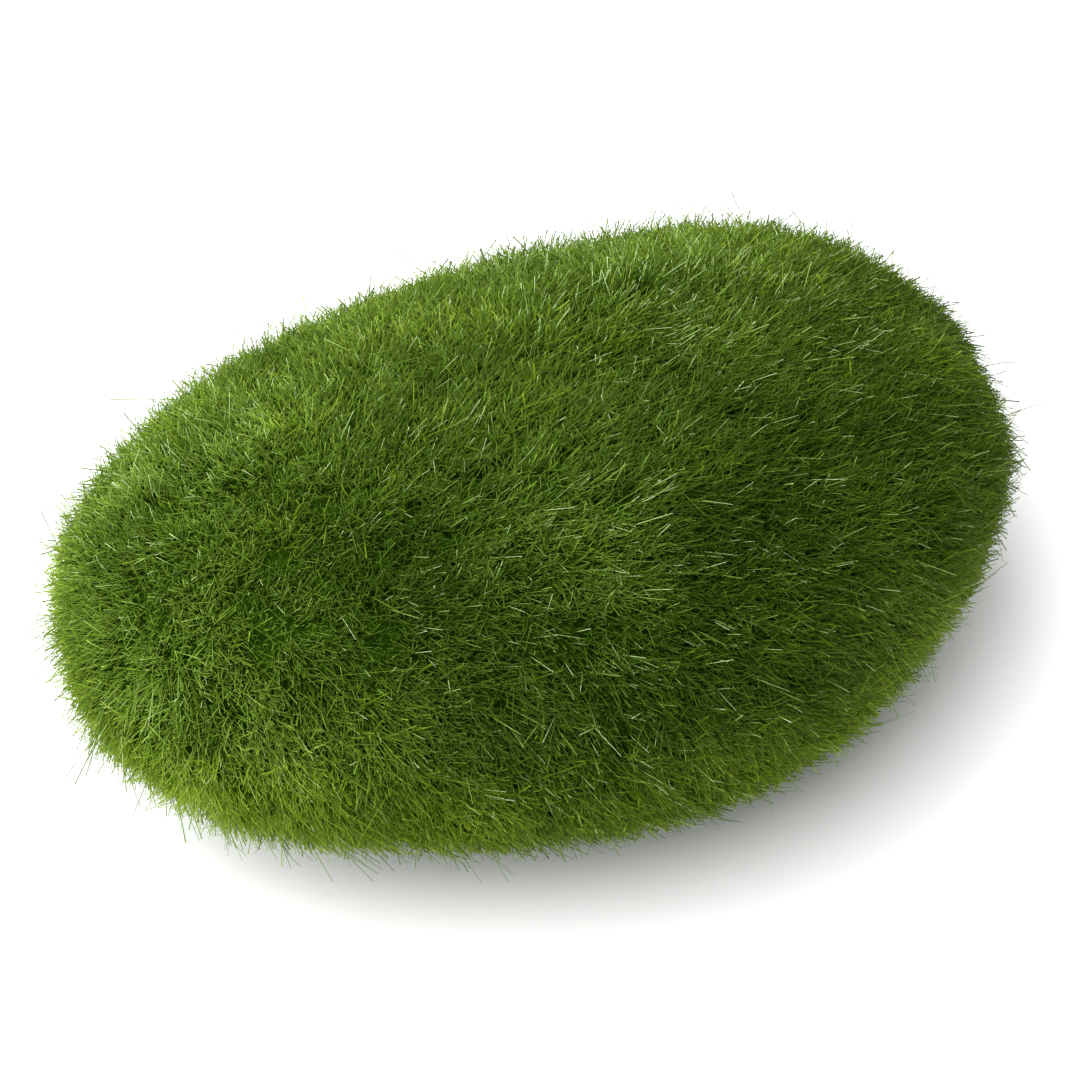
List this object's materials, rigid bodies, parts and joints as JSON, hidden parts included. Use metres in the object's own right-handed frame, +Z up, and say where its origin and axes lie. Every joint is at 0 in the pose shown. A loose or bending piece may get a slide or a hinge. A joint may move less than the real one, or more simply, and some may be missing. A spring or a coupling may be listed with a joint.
{
  "type": "oblong moss ball",
  "caption": "Oblong, slightly flattened ball of dense short green moss that lies on a small flat spot, as a natural ornament for an aquarium or a display.",
  "frame": {"origin": "middle of the bounding box's base, on the plane that the ball rests on", "axes": "+Z up, +X along the ball's length towards its fuller end, +Y across its width"},
  "size_m": [0.092, 0.0624, 0.039],
  "materials": {
    "moss": "dense pile of fine soft moss fibres about 3 mm long, deep green at the roots and yellow-green at the tips, with a faint gloss on single fibres"
  },
  "bodies": {
    "root": {"moss_ball": "moss"}
  },
  "joints": []
}
